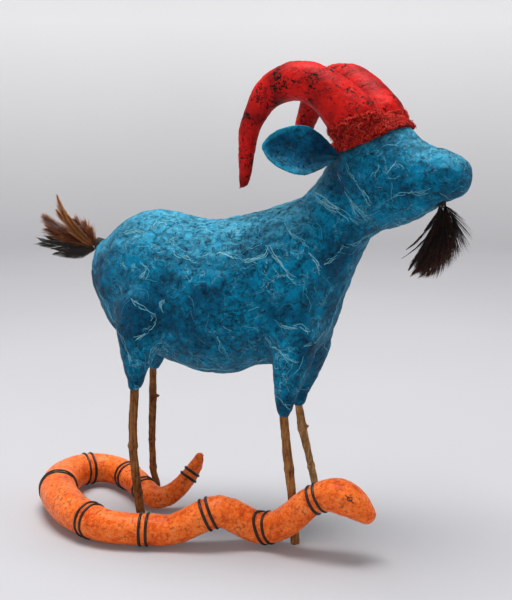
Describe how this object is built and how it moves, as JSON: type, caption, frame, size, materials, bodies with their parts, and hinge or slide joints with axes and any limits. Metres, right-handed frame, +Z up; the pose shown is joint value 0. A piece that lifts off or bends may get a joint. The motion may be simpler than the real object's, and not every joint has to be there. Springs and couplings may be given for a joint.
{
  "type": "papier-mache goat figure with a loose snake",
  "caption": "Free-standing folk-art papier-mache goat on twig legs, with ram horns, feather tail and beard, and a loose papier-mache snake coiled round its feet.",
  "frame": {"origin": "middle of the footprint box, on the surface the figure stands on", "axes": "+X is the way the goat's body faces, +Y its left side, +Z up"},
  "size_m": [0.3764, 0.1798, 0.3869],
  "materials": {
    "teal_paper": "matte mulberry tissue over papier-mache, sealed",
    "red_paper": "matte red tissue with dark flecks",
    "red_fibre": "loose short fibre",
    "orange_paper": "satin varnished tissue",
    "newsprint": "crumpled",
    "twig_bark": "natural bark",
    "black_cord": "waxed cord",
    "steel_wire": "bare wire",
    "thread": "wound thread",
    "brown_feather": "natural feather",
    "black_feather": "natural feather"
  },
  "bodies": {
    "goat": {"torso_shell": "teal_paper", "torso_stuffing": "newsprint", "neck_stick": "twig_bark", "rear_right_leg_wrap": "teal_paper", "rear_left_leg_wrap": "teal_paper", "front_right_leg_wrap": "teal_paper", "front_left_leg_wrap": "teal_paper", "rear_right_leg_twig": "twig_bark", "rear_left_leg_twig": "twig_bark", "front_right_leg_twig": "twig_bark", "front_left_leg_twig": "twig_bark", "head_shell": "teal_paper", "head_stuffing": "newsprint", "horn_ruff": "red_fibre", "horn_right": "red_paper", "horn_left": "red_paper", "horn_wire_right": "steel_wire", "horn_wire_left": "steel_wire", "ear_right": "teal_paper", "ear_left": "teal_paper", "beard_binding": "thread", "tail_binding": "thread"},
    "tail": {"tail_feather_black_long": "black_feather", "tail_feather_brown_broad": "brown_feather", "tail_feather_brown_hackle": "brown_feather", "tail_feather_black_short": "black_feather"},
    "beard": {"beard_feather_right": "black_feather", "beard_feather_middle": "black_feather", "beard_feather_left": "black_feather"},
    "snake": {"snake_body": "orange_paper", "snake_wire": "steel_wire", "snake_band_01_tailward": "black_cord", "snake_band_01_headward": "black_cord", "snake_band_02_tailward": "black_cord", "snake_band_02_headward": "black_cord", "snake_band_03_tailward": "black_cord", "snake_band_03_headward": "black_cord", "snake_band_04_tailward": "black_cord", "snake_band_04_headward": "black_cord", "snake_band_05_tailward": "black_cord", "snake_band_05_headward": "black_cord", "snake_band_06_tailward": "black_cord", "snake_band_06_headward": "black_cord", "snake_band_07_tailward": "black_cord", "snake_band_07_headward": "black_cord", "snake_band_08_tailward": "black_cord", "snake_band_08_headward": "black_cord", "snake_band_09_tailward": "black_cord", "snake_band_09_headward": "black_cord", "snake_band_10_tailward": "black_cord", "snake_band_10_headward": "black_cord"}
  },
  "joints": [
    {"name": "snake_draw_out", "type": "slide", "parent": "goat", "child": "snake", "axis": [-0.9659, -0.2588, 0], "range_m": [0, 0.31]},
    {"name": "tail_sway", "type": "hinge", "parent": "goat", "child": "tail", "pos_m": [-0.12667, 0.00198, 0.23628], "axis": [0, 1, 0], "range_deg": [-12, 12], "stiffness_Nm_per_rad": 0.03},
    {"name": "beard_sway", "type": "hinge", "parent": "goat", "child": "beard", "pos_m": [0.16468, -0.0296, 0.2749], "axis": [0.3907, 0.9205, 0], "range_deg": [-15, 15], "stiffness_Nm_per_rad": 0.03}
  ]
}
